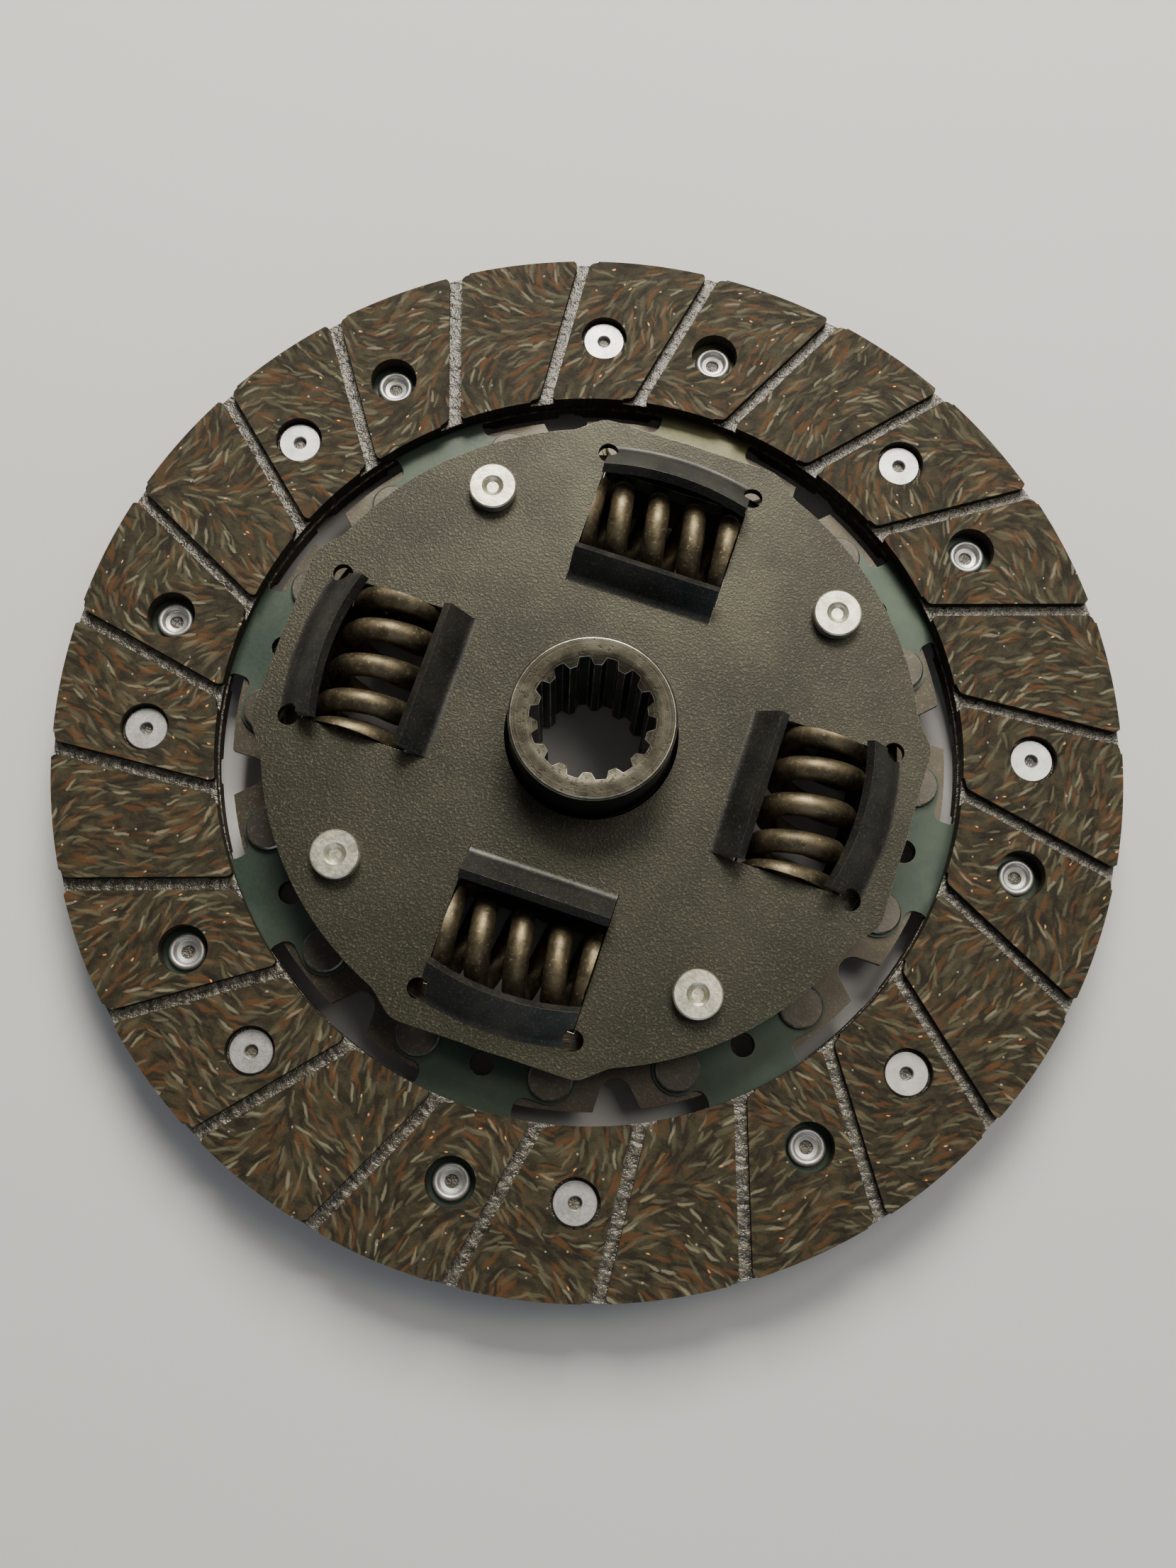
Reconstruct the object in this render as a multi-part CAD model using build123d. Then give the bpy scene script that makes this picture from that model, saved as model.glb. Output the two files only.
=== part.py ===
from build123d import *
from math import asin, cos, degrees, hypot, radians, sin
import os

# Clutch disc, hub axis on +Z. The origin is on the axis, at the hub's rear end, on which it lies.
# +Z points to the pressure plate side, called the front; the side facing the flywheel is the rear.
# Lengths are in millimetres and angles in degrees, counted anticlockwise from +X seen from +Z.

# Friction facings
facing_outer_d = 200.0
facing_t = 3.5
groove_count = 24
groove_w = 2.4
groove_depth = 1.7
groove_offset = 26.0          # how far each straight groove passes from the hub axis
groove_start = 4.0            # direction of the first groove
pad_corner_r = 1.5

# Cushion segments, the thin spring steel blades between the facings
segment_count = 8
segment_t = 0.7
segment_wave = 0.7            # how far the blade's wings stand above its foot
segment_rivet_outset = 1.8    # from the front plate's edge out to the rivets' circle
segment_rivet_angle = 11.8    # each foot rivet's angle from the segment's centre line
segment_lobe_r = 4.6
segment_neck_left = 7.7       # neck's edge on the anticlockwise side of the centre line
segment_neck_right = 10.2
segment_neck_fillet = 2.0
segment_pilot_d = 4.5
segment_gap = 2.0             # space between neighbouring blades
blade_edge_in = 1.0           # how far the blade stays inside both edges of the facings
wave_start = 10.8             # half width of the blade's low middle strip
wave_run = 4.4                # length of the ramp from the low strip to each wing

# Rivets of the facings
facing_rivet_share = 0.44     # how far across the facing's band the rivets' circle lies
front_rivet_angle = 16.55     # first rivet with its head on the front facing
rear_rivet_angle = 1.2        # first rivet with its head on the rear facing
rivet_hole_d = 9.0            # recess for a head, and clear hole over a rolled end
rivet_head_d = 8.0
rivet_head_t = 1.0
rivet_head_below = 1.5        # from the friction face down to the head
rivet_shank_d = 4.4
rivet_bore_d = 2.4
rolled_end_d = 7.0
rolled_end_h = 1.15
rolled_mouth_d = 4.4

# Rivets of the segments
segment_rivet_head_d = 8.1
segment_rivet_head_t = 1.3
segment_rivet_shank_d = 5.0
segment_rivet_edge = 0.4

# The two pressed plates
plate_t = 2.0
plate_gap = 9.5               # between the two plates
window_half = 14.1
shoulder_half = 1.22 * window_half      # half the straight edge across each spring window
shoulder_slope = 50.0         # angle between the shoulder's flank and the window's centre line
shoulder_r = 4.5
shoulder_foot_r = 4.0
rivet_edge_w = 5.5            # the carrier's rim outside the segment rivets' circle
facing_clearance = 2.5        # from the carrier's tabs out to the facings' bore
tab_root_r = 2.9

# Spring windows and their lips
window_count = 4
relief_d = 3.8
relief_outset = 0.3           # from the window's end out to the middle of a relief hole
relief_inset = 3.6            # from the outer lip's root in to the middle of a relief hole
relief_roof = 3.0             # height to which a relief hole cuts into the lip above it
lip_clearance = 0.15          # between a lip's side and the window's end
lip_bend_r = 2.0
rim_w = 3.0                   # the plate's rim outside a window
hub_side_w = 1.1              # from the friction washers' edge out to a window
window_depth = 30.6           # from the inner lip's root to the outer lip's
outer_lip_bend = 54.0
outer_lip_tip = 34.0
inner_lip_bend = 56.0
inner_lip_tip = 44.0

# Torsion springs
spring_end_gap = 0.3          # between a spring's end and the window's
spring_length = 2 * (window_half - spring_end_gap)
spring_turns = 5.0
spring_end_pitch = 4.0
spring_pitch = 0.2591 * spring_length
spring_closed_turns = 0.5     # turns at the end pitch, at each end
spring_ramp_turns = 0.6       # turns over which the pitch opens
spring_first_crest = (0.51, 0.34, 0.41, 0.45)   # turns from a spring's tip to its first crest
spring_points_per_turn = 8

# Stop pins, which join the plates and stop the hub's twist
pin_inset = 9.2               # from the front plate's edge in to the pins' circle
pin_angles = (45.0, 129.8, 225.0, 309.8)
pin_body_d = 10.0
pin_neck_d = 7.0
pin_head_d = 8.9
pin_head_h = 2.5
pin_head_edge = 0.5
pin_dimple_d = 3.6
pin_dimple_depth = 0.9

# Hub
hub_barrel_d = 30.0
hub_length = 32.3
facings_z = 9.6               # middle of the pack of facings above the hub's rear end
hub_edge = 0.4
hub_lead_in_d = 25.0
hub_lead_in_depth = 0.9
flange_inset = 5.0            # from the segment rivets' circle in to the flange's edge
flange_t = 5.0
flange_fillet = 1.2
spline_teeth = 14
spline_minor_d = 19.6
spline_major_d = 22.4
spline_mouth_w = 2.9
spline_floor_w = 1.9
twist_each_way = 7.0
stop_clearance = 0.3
window_clearance = 0.45       # between a spring and the sides of the flange's window

# Friction damper between the flange and the plates
plate_clearance = 1.0         # round the hub's barrel, in the plates' bores
washer_clearance = 1.5
washer_w = 9.0
front_washer_t = 0.9
support_washer_t = 0.5
cone_spring_t = 0.45
cone_spring_inset = 0.5       # from the friction washers' edge in to the cone spring's
running_gap = 0.02
collar_gap = 0.08
collar_seat_gap = 0.1

# Radial places, from the hub outwards
plate_bore_d = hub_barrel_d + 2 * plate_clearance
washer_bore_d = hub_barrel_d + 2 * washer_clearance
washer_d = washer_bore_d + 2 * washer_w
inner_lip_root = washer_d / 2 + hub_side_w
outer_lip_root_r = inner_lip_root + window_depth
outer_lip_chord = 0.209 * window_depth
inner_lip_chord = 0.18 * window_depth
spring_radius = inner_lip_root + 0.5033 * window_depth    # from the hub axis to a spring's own axis
spring_outer_d = 0.6046 * window_depth
spring_wire_d = 0.2378 * spring_outer_d
front_plate_d = 2 * (outer_lip_root_r + rim_w)
shoulder_x = 0.499 * front_plate_d
pin_pcd = front_plate_d - 2 * pin_inset
segment_rivet_pcd = front_plate_d + 2 * segment_rivet_outset
flange_d = segment_rivet_pcd - 2 * flange_inset
carrier_d = segment_rivet_pcd + 2 * rivet_edge_w
tab_half_w = 0.1611 * carrier_d
facing_inner_d = carrier_d + 2 * facing_clearance
facing_rivet_pcd = facing_inner_d + facing_rivet_share * (facing_outer_d - facing_inner_d)

# Heights
facing_half_gap = (segment_t + segment_wave) / 2
facing_seat_z = facings_z + facing_half_gap     # underside of the front facing
front_face_z = facing_seat_z + facing_t
segment_bottom_z = facings_z - facing_half_gap
segment_top_z = segment_bottom_z + segment_t
carrier_top_z = segment_bottom_z
carrier_bottom_z = carrier_top_z - plate_t
plate_bottom_z = carrier_top_z + plate_gap
plate_top_z = plate_bottom_z + plate_t
middle_z = (plate_bottom_z + carrier_top_z) / 2
flange_bottom_z = middle_z - flange_t / 2
flange_top_z = middle_z + flange_t / 2

segment_pitch = 360 / segment_count
window_pitch = 360 / window_count
middle_plane = Plane.XY.offset(middle_z)


def around(shape, angle):
    """The shape turned about the hub axis."""
    return Rot(0, 0, angle) * shape


def ring(outer_d, inner_d, low, high):
    """A flat ring about the hub axis."""
    return Pos(0, 0, low) * extrude(Circle(outer_d / 2) - Circle(inner_d / 2), high - low)


def turned(points):
    """A solid of revolution about Z from (radius, height) corners."""
    return revolve(Plane.XZ * make_face(Polyline(*points, close=True)), Axis.Z)


# Friction facings: a ring with raised pads between skewed straight grooves
def pad_outlines(band):
    """All pads in plan: what the grooves leave of the ring, with rounded corners."""
    reach = facing_outer_d
    groove = Pos(reach / 2, groove_offset) * Rectangle(reach, groove_w)
    step = 360 / groove_count
    split = band - around(groove, groove_start) - around(groove, groove_start + step)
    pad = min(split.faces(), key=lambda face: face.area)
    pad = pad.fillet_2d(pad_corner_r, pad.vertices())
    return Sketch() + [around(pad, k * step) for k in range(groove_count)]


def facing():
    """A facing with its friction face up at front_face_z, built of three layers."""
    band = Circle(facing_outer_d / 2) - Circle(facing_inner_d / 2)
    place = Pos(facing_rivet_pcd / 2, 0)
    shanks, heads, rolls = [], [], []
    for k in range(segment_count):
        shanks.append(around(place * Circle(rivet_shank_d / 2), front_rivet_angle + k * segment_pitch))
        heads.append(around(place * Circle(rivet_hole_d / 2), front_rivet_angle + k * segment_pitch))
        rolls.append(around(place * Circle(rivet_hole_d / 2), rear_rivet_angle + k * segment_pitch))
    shelf_z = front_face_z - rivet_head_below - rivet_head_t
    floor_z = front_face_z - groove_depth
    under_heads = Pos(0, 0, facing_seat_z) * extrude(band - shanks - rolls, shelf_z - facing_seat_z)
    beside_heads = Pos(0, 0, shelf_z) * extrude(band - heads - rolls, floor_z - shelf_z)
    pads = Pos(0, 0, floor_z) * extrude(pad_outlines(band) - heads - rolls, groove_depth)
    return under_heads + beside_heads + pads


def flipped(shape):
    """The shape turned over, so that the front rivets' places fall on the rear rivets' places."""
    axis_angle = (front_rivet_angle + rear_rivet_angle) / 2
    turned_over = Pos(0, 0, 2 * facings_z) * Rot(180, 0, 0) * around(shape, -axis_angle)
    return around(turned_over, axis_angle)


# Facing rivets: tubular, with a flat head in the recess and an end rolled over on the blade
def facing_rivet():
    """A rivet on the Z axis with its head under the front friction face."""
    head_top = front_face_z - rivet_head_below
    head_bottom = head_top - rivet_head_t
    blade_bottom = facing_seat_z - segment_t
    roll_r = rolled_end_h / 2
    body = turned([
        (rivet_bore_d / 2, head_top),
        (rivet_head_d / 2, head_top),
        (rivet_head_d / 2, head_bottom),
        (rivet_shank_d / 2, head_bottom),
        (rivet_shank_d / 2, blade_bottom),
        (rivet_bore_d / 2, blade_bottom),
    ])
    # the rolled end: a rounded ring, wider than the shank, with a funnel mouth
    roll = make_face(Polyline(
        (rivet_bore_d / 2, blade_bottom),
        (rolled_end_d / 2 - roll_r / 2, blade_bottom),
        (rolled_end_d / 2, blade_bottom - roll_r),
        (rolled_end_d / 2 - roll_r, blade_bottom - rolled_end_h),
        (rolled_mouth_d / 2, blade_bottom - roll_r),
        (rivet_bore_d / 2, blade_bottom - roll_r),
        close=True,
    ))
    return body + revolve(Plane.XZ * roll, Axis.Z)


def facing_rivets():
    rivet = Pos(facing_rivet_pcd / 2, 0) * facing_rivet()
    return [around(rivet, front_rivet_angle + k * segment_pitch) for k in range(segment_count)]


# Cushion segments
def foot_rivet_places():
    """The two foot rivets of the segment on +X."""
    r = segment_rivet_pcd / 2
    a = radians(segment_rivet_angle)
    return [(r * cos(a), side * r * sin(a)) for side in (1, -1)]


def segment_outline():
    """A segment on +X in plan: riveted foot, neck, and the blade between the facings."""
    (rivet_x, rivet_y), _ = foot_rivet_places()
    clear_of_pins = (pin_pcd + pin_body_d) / 2 + blade_edge_in
    foot_in = max(hypot(rivet_x, rivet_y) - segment_lobe_r + blade_edge_in / 2, clear_of_pins)
    lobe_top = rivet_x + segment_lobe_r
    blade_in = facing_inner_d / 2 + blade_edge_in
    blade_out = facing_outer_d / 2 - blade_edge_in
    foot = Pos((foot_in + lobe_top) / 2, 0) * Rectangle(lobe_top - foot_in, 2 * rivet_y)
    foot = foot - Circle(foot_in)
    for x, y in foot_rivet_places():
        foot += Pos(x, y) * Circle(segment_lobe_r)
    neck_mid = (segment_neck_left - segment_neck_right) / 2
    neck_w = segment_neck_left + segment_neck_right
    neck_end = blade_in + blade_edge_in
    neck_start = lobe_top - 2 * blade_edge_in
    neck = Pos((neck_start + neck_end) / 2, neck_mid) * Rectangle(neck_end - neck_start, neck_w)
    edge_y = segment_gap / 2
    half = segment_pitch / 2
    far_x = 2 * blade_out
    far_y = far_x * sin(radians(half)) / cos(radians(half))
    wedge = make_face(Polyline((0, 0), (far_x, far_y), (far_x, -far_y), close=True))
    sector = Pos(edge_y / sin(radians(half)), 0) * wedge
    blade = (Circle(blade_out) - Circle(blade_in)) & sector
    outline = foot + neck + blade
    corners = [v for v in outline.vertices()
               if abs(v.Y - segment_neck_left) < 0.01 or abs(v.Y + segment_neck_right) < 0.01]
    outline = fillet(corners, segment_neck_fillet)
    outline -= Pos(segment_rivet_pcd / 2, 0) * Circle(segment_pilot_d / 2)
    for x, y in foot_rivet_places():
        outline -= Pos(x, y) * Circle(segment_rivet_shank_d / 2)
    for angle in (front_rivet_angle, rear_rivet_angle):
        outline -= around(Pos(facing_rivet_pcd / 2, 0) * Circle(rivet_shank_d / 2), angle)
    return outline


def segment():
    """The segment on +X: a flat foot, and a blade whose wings rise to the front facing."""
    reach = facing_outer_d
    low, high = segment_bottom_z, segment_bottom_z + segment_wave
    ramp = wave_start + wave_run
    under = [(-reach, high), (-ramp, high), (-wave_start, low),
             (wave_start, low), (ramp, high), (reach, high)]
    over = [(y, z + segment_t) for y, z in reversed(under)]
    ribbon = extrude(Plane.YZ * make_face(Polyline(*under, *over, close=True)), reach)
    foot_end = Circle(facing_inner_d / 2 + blade_edge_in)
    outline = segment_outline()
    foot = Pos(0, 0, low) * extrude(outline & foot_end, segment_t)
    blade = Pos(0, 0, low) * extrude(outline - foot_end, segment_wave + segment_t)
    return foot + (blade & ribbon)


# Segment rivets: solid, flat headed in front, with the closed head behind the carrier plate
def segment_rivet():
    r = segment_rivet_head_d / 2
    e = segment_rivet_edge
    top = segment_top_z + segment_rivet_head_t
    bottom = carrier_bottom_z - segment_rivet_head_t
    s = segment_rivet_shank_d / 2
    return turned([
        (0, top), (r - e, top), (r, top - e), (r, segment_top_z), (s, segment_top_z),
        (s, carrier_bottom_z), (r, carrier_bottom_z), (r, bottom + e), (r - e, bottom), (0, bottom),
    ])


def segment_rivets():
    rivets = []
    for k in range(segment_count):
        for x, y in foot_rivet_places():
            rivets.append(around(Pos(x, y) * segment_rivet(), k * segment_pitch))
    return rivets


# Pressed plates
def lip_section(root, heading, bend, tip, chord):
    """Section of a lip, in (radius, height) from the plate's upper face; heading is -1 or 1."""
    def bent_line(height, bend_r, sweep_r):
        start = (root - heading * plate_t, height)
        flat = Line(start, (root, height))
        curve = JernArc((root, height), (heading, 0), bend_r, heading * bend)
        over = JernArc(curve @ 1, curve % 1, sweep_r, -heading * (bend - tip))
        return flat, curve, over
    sweep = chord / (2 * sin(radians((bend - tip) / 2)))
    upper = bent_line(0, lip_bend_r, sweep)
    lower = bent_line(-plate_t, lip_bend_r + plate_t, sweep - plate_t)
    ends = [Line(upper[0] @ 0, lower[0] @ 0), Line(upper[2] @ 1, lower[2] @ 1)]
    return make_face([*upper, *lower, *ends])


def window_lips():
    """The two lips of the window on +X, bent up from the front plate."""
    half = window_half - lip_clearance
    inner = Plane.XZ * lip_section(inner_lip_root, 1, inner_lip_bend, inner_lip_tip, inner_lip_chord)
    inner = extrude(inner, half, both=True)
    outer = Plane.XZ * lip_section(outer_lip_root_r, -1, outer_lip_bend, outer_lip_tip, outer_lip_chord)
    swing = 2 * degrees(asin(window_half / outer_lip_root_r))
    outer = revolve(Rot(0, 0, -swing) * outer, Axis.Z, revolution_arc=2 * swing)
    outer = outer & Box(4 * outer_lip_root_r, 2 * half, 4 * outer_lip_root_r)
    return Pos(0, 0, plate_top_z) * (inner + outer)


def window_opening():
    """What one window takes out of a plate, in plan, before the relief holes."""
    opening = Pos(inner_lip_root + window_depth, 0) * Rectangle(2 * window_depth, 2 * window_half)
    return opening & Circle(outer_lip_root_r)


def relief_holes():
    """The holes at the ends of the outer lip, which keep its bend from tearing."""
    hole = Pos(0, 0, plate_bottom_z) * extrude(Circle(relief_d / 2), plate_t + relief_roof)
    x, y = outer_lip_root_r - relief_inset, window_half + relief_outset
    return [Pos(x, side * y) * hole for side in (1, -1)]


def pressed_plate(outline):
    """A plate at the front plate's height, with its bore, pin holes, windows and lips."""
    outline -= Circle(plate_bore_d / 2)
    for angle in pin_angles:
        outline -= around(Pos(pin_pcd / 2, 0) * Circle(pin_neck_d / 2), angle)
    for k in range(window_count):
        outline -= around(window_opening(), k * window_pitch)
    plate = Pos(0, 0, plate_bottom_z) * extrude(outline, plate_t)
    plate += [around(window_lips(), k * window_pitch) for k in range(window_count)]
    for k in range(window_count):
        plate -= [around(hole, k * window_pitch) for hole in relief_holes()]
    return plate


def front_plate():
    """Round between the windows, with a straight shouldered edge across each of them."""
    drop = shoulder_half / 2
    run = drop * sin(radians(shoulder_slope)) / cos(radians(shoulder_slope))
    bar = make_face(Polyline(
        (shoulder_x, shoulder_half), (shoulder_x - drop, shoulder_half + run), (0, 0),
        (shoulder_x - drop, -shoulder_half - run), (shoulder_x, -shoulder_half), close=True))
    outline = Circle(front_plate_d / 2)
    for k in range(window_count):
        outline += around(bar, k * window_pitch)
    edge_r = front_plate_d / 2
    tops = [v for v in outline.vertices() if hypot(v.X, v.Y) > edge_r + 1]
    outline = fillet(tops, shoulder_r)
    feet = [v for v in outline.vertices() if abs(hypot(v.X, v.Y) - edge_r) < 0.05]
    outline = fillet(feet, shoulder_foot_r)
    return pressed_plate(outline)


def tab_notch():
    """The notch between two tabs of the carrier plate, on +X: straight sides and a round root."""
    half = radians(segment_pitch / 2)
    root_x = (tab_half_w + tab_root_r) / sin(half)
    reach = carrier_d
    apex = tab_half_w / sin(half)
    side_y = (reach - apex) * sin(half) / cos(half)
    wedge = make_face(Polyline((apex, 0), (reach, side_y), (reach, -side_y), close=True))
    inside = Pos(root_x - tab_root_r * sin(half) + reach / 2, 0) * Rectangle(reach, 2 * reach)
    return (wedge & inside) + Pos(root_x, 0) * Circle(tab_root_r)


def carrier_plate():
    """The plate that carries the segments, with its lips bent to the rear."""
    outline = Circle(carrier_d / 2)
    for k in range(segment_count):
        outline -= around(tab_notch(), (k + 0.5) * segment_pitch)
        for x, y in foot_rivet_places():
            outline -= around(Pos(x, y) * Circle(segment_rivet_shank_d / 2), k * segment_pitch)
        outline -= around(Pos(segment_rivet_pcd / 2, 0) * Circle(segment_pilot_d / 2), k * segment_pitch)
    return mirror(pressed_plate(outline), middle_plane)


# Torsion springs
def spring_rise(turn):
    """Height of the wire's centre along the spring, from the tip, after so many turns."""
    def from_tip(t):
        ramp = min(max(t - spring_closed_turns, 0), spring_ramp_turns)
        opened = max(t - spring_closed_turns - spring_ramp_turns, 0)
        gain = (spring_pitch - spring_end_pitch) / spring_ramp_turns
        rise = min(t, spring_closed_turns) * spring_end_pitch
        return rise + ramp * spring_end_pitch + gain * ramp ** 2 / 2 + opened * spring_pitch
    half = spring_turns / 2
    if turn <= half:
        return from_tip(turn)
    return 2 * from_tip(half) - from_tip(spring_turns - turn)


def spring(first_crest):
    """The spring in the window on +X: closed ends, ground flat, right-handed."""
    coil_r = (spring_outer_d - spring_wire_d) / 2
    middle = spring_rise(spring_turns) / 2
    count = round(spring_turns * spring_points_per_turn)
    points = []
    for k in range(count + 1):
        turn = k / spring_points_per_turn
        a = radians(90 + 360 * (turn - first_crest))
        along = spring_rise(turn) - middle
        points.append(Vector(spring_radius + coil_r * cos(a), -along, middle_z + coil_r * sin(a)))
    path = Spline(*points)
    wire = sweep(Plane(path @ 0, z_dir=path % 0) * Circle(spring_wire_d / 2), path)
    ends = Pos(spring_radius, 0, middle_z) * Box(2 * spring_outer_d, spring_length, 2 * spring_outer_d)
    return wire & ends


# Stop pins
def stop_pin():
    """A shouldered pin on the Z axis, its ends upset over both plates."""
    neck, body, head, e = pin_neck_d / 2, pin_body_d / 2, pin_head_d / 2, pin_head_edge
    top, bottom = plate_top_z + pin_head_h, carrier_bottom_z - pin_head_h
    dimple = pin_dimple_d / 2
    return turned([
        (0, top - pin_dimple_depth), (dimple, top - pin_dimple_depth), (dimple, top),
        (head - e, top), (head, top - e),
        (head, plate_top_z), (neck, plate_top_z), (neck, plate_bottom_z), (body, plate_bottom_z),
        (body, carrier_top_z), (neck, carrier_top_z), (neck, carrier_bottom_z),
        (head, carrier_bottom_z), (head, bottom + e), (head - e, bottom), (dimple, bottom),
        (dimple, bottom + pin_dimple_depth), (0, bottom + pin_dimple_depth),
    ])


# Hub
def spline_bore():
    """Plan of the splined bore: the minor circle with a groove between each pair of teeth."""
    minor, major = spline_minor_d / 2, spline_major_d / 2
    taper = (spline_mouth_w - spline_floor_w) / 2 / (major - minor)
    inside, outside = minor - 1, major + 1
    mouth = spline_mouth_w / 2 + taper
    floor = spline_floor_w / 2 - taper
    groove = make_face(Polyline((inside, mouth), (outside, floor), (outside, -floor), (inside, -mouth),
                                close=True))
    bore = Circle(minor)
    for k in range(spline_teeth):
        bore += around(groove, (k + 0.5) * 360 / spline_teeth)
    return bore & Circle(major)


def flange_cuts():
    """What is taken out of the flange in plan: spring windows, and a slot for each stop pin."""
    depth = spring_outer_d + 2 * window_clearance
    window = Pos(spring_radius, 0) * Rectangle(depth, 2 * window_half)
    slot_r = pin_body_d / 2 + stop_clearance
    pin_r = pin_pcd / 2
    slot = Pos(pin_r, 0) * Circle(slot_r)
    slot += Pos(pin_r + slot_r, 0) * Rectangle(2 * slot_r, 2 * slot_r)
    cuts = [around(window, k * window_pitch) for k in range(window_count)]
    swept = ring_sector(pin_r - slot_r, flange_d, 2 * twist_each_way)
    for angle in pin_angles:
        cuts.append(around(swept, angle))
        cuts.append(around(slot, angle - twist_each_way))
        cuts.append(around(slot, angle + twist_each_way))
    return cuts


def ring_sector(inner_r, outer_r, angle):
    """Plan of a sector of a ring, centred on +X."""
    half = radians(angle / 2)
    wedge = make_face(Polyline((0, 0), (2 * outer_r, -2 * outer_r * sin(half) / cos(half)),
                               (2 * outer_r, 2 * outer_r * sin(half) / cos(half)), close=True))
    return (Circle(outer_r) - Circle(inner_r)) & wedge


def hub():
    """Splined barrel with the flange that drives the springs."""
    barrel, flange, lead = hub_barrel_d / 2, flange_d / 2, hub_lead_in_d / 2
    f = flange_fillet
    web = Pos(0, 0, flange_bottom_z) * extrude(Circle(flange) - flange_cuts(), flange_t)
    core = turned([
        (0, 0), (barrel - hub_edge, 0), (barrel, hub_edge),
        (barrel, flange_bottom_z - f), (barrel + f, flange_bottom_z), (barrel + f, flange_top_z),
        (barrel, flange_top_z + f), (barrel, hub_length - hub_edge),
        (barrel - hub_edge, hub_length), (0, hub_length),
    ])
    depth = hub_lead_in_depth
    funnel = turned([(0, 0), (lead, 0), (spline_minor_d / 2, depth), (0, depth)])
    other_end = Pos(0, 0, hub_length) * mirror(funnel, Plane.XY)
    return core + web - extrude(spline_bore(), hub_length) - funnel - other_end


# Friction damper
def rear_friction_ring():
    """Moulded friction ring behind the flange, with the collar that centres the carrier plate."""
    inner = hub_barrel_d / 2 + collar_gap
    collar = plate_bore_d / 2 - collar_seat_gap
    top = flange_bottom_z - running_gap
    clear = hub_barrel_d / 2 + flange_fillet + collar_gap
    return turned([
        (clear, top), (washer_d / 2, top), (washer_d / 2, carrier_top_z), (collar, carrier_top_z),
        (collar, carrier_bottom_z), (inner, carrier_bottom_z), (inner, carrier_top_z),
        (clear, carrier_top_z + flange_fillet),
    ])


def cone_spring():
    """The cone-shaped spring washer that loads the friction washers."""
    low = flange_top_z + running_gap + front_washer_t
    high = plate_bottom_z - support_washer_t
    inner, outer = washer_bore_d / 2 + cone_spring_inset, washer_d / 2 - cone_spring_inset
    return turned([(inner, low), (outer, high - cone_spring_t), (outer, high), (inner, low + cone_spring_t)])


def front_friction_washer():
    low = flange_top_z + running_gap
    return ring(washer_d, washer_bore_d, low, low + front_washer_t)


def support_washer():
    return ring(washer_d, washer_bore_d, plate_bottom_z - support_washer_t, plate_bottom_z)


def save(name, shape):
    """Writes one sub-part, naming its solids' group."""
    solids = list(shape) if isinstance(shape, list) else shape.solids()
    part = solids[0] if len(solids) == 1 else Compound(children=solids)
    part.label = name
    export_step(part, f"parts/{name}.step")


def build():
    os.makedirs("parts", exist_ok=True)
    one_facing = facing()
    save("front_facing", one_facing)
    save("rear_facing", flipped(one_facing))
    save("front_facing_rivets", [s for r in facing_rivets() for s in r.solids()])
    save("rear_facing_rivets", [s for r in facing_rivets() for s in flipped(r).solids()])
    one_segment = segment()
    for k in range(segment_count):
        save(f"cushion_segment_{k + 1}", around(one_segment, k * segment_pitch))
    save("segment_rivets", [s for r in segment_rivets() for s in r.solids()])
    save("front_plate", front_plate())
    save("carrier_plate", carrier_plate())
    for k, first_crest in enumerate(spring_first_crest):
        save(f"torsion_spring_{k + 1}", around(spring(first_crest), k * window_pitch))
    for k, angle in enumerate(pin_angles):
        save(f"stop_pin_{k + 1}", around(Pos(pin_pcd / 2, 0) * stop_pin(), angle))
    save("hub", hub())
    save("rear_friction_ring", rear_friction_ring())
    save("front_friction_washer", front_friction_washer())
    save("cone_spring_washer", cone_spring())
    save("support_washer", support_washer())


build()
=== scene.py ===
# %% [markdown]
# # A clutch disc, dressed in Blender
# A clutch disc sits between an engine's flywheel and its pressure plate. Two grooved friction rings
# are riveted to thin cushion blades, and they drive a splined hub through four coil springs.
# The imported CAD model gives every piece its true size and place. The lesson keeps that frame, models
# anew each piece that shows, and gives all of them the surfaces of the real disc.

# %% Load the fixed frame
import random
from math import cos, hypot, pi, radians, sin, sqrt

import bpy
from mathutils import Matrix, Vector


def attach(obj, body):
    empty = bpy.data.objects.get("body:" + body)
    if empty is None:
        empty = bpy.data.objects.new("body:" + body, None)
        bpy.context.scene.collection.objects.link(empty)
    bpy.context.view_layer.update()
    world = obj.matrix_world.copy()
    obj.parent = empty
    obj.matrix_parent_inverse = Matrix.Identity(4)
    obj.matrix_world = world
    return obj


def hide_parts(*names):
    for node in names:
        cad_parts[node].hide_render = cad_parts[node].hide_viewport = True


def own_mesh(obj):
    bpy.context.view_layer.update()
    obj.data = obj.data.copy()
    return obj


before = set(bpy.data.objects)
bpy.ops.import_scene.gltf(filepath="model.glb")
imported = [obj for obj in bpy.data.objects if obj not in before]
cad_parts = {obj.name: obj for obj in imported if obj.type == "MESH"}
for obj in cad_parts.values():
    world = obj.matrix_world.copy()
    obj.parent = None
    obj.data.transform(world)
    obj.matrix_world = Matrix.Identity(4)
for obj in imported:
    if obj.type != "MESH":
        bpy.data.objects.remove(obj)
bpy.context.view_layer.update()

# %% [markdown]
# ## Tools for the hands
# Blender's operators act on whatever is selected, so each step starts by selecting nothing and then
# picking its own piece. These few helpers do that, and let sizes be written in millimetres.

# %% Selecting, editing and finishing
MM = 0.001


def pick(piece):
    """Makes the piece the only selected object."""
    bpy.ops.object.select_all(action="DESELECT")
    piece.select_set(True)
    bpy.context.view_layer.objects.active = piece


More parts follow.
